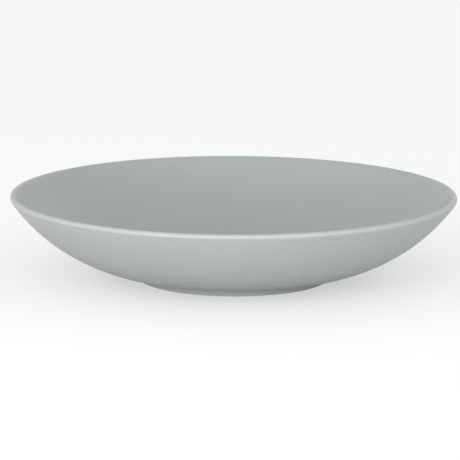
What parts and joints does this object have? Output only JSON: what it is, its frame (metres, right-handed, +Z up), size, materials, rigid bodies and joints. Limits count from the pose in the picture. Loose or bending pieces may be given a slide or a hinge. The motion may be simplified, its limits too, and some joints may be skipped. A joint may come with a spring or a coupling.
{
  "type": "deep plate",
  "caption": "Round deep coupe plate in satin grey glazed ceramic, with a curved wall rising to a rounded lip and a low bare foot ring, for serving soup, pasta or salad.",
  "frame": {"origin": "on the plate's axis, in the plane of the foot ring's standing face", "axes": "+Z up along the axis that the plate is turned about, from the foot towards the lip; X and Y are free"},
  "size_m": [0.26, 0.26, 0.05],
  "materials": {
    "clay": "bare vitrified clay, fine grained and matt",
    "glaze": "satin matt grey glaze"
  },
  "bodies": {
    "root": {"clay_body": "clay", "glaze_coat": "glaze", "foot_well_glaze": "glaze"}
  },
  "joints": []
}
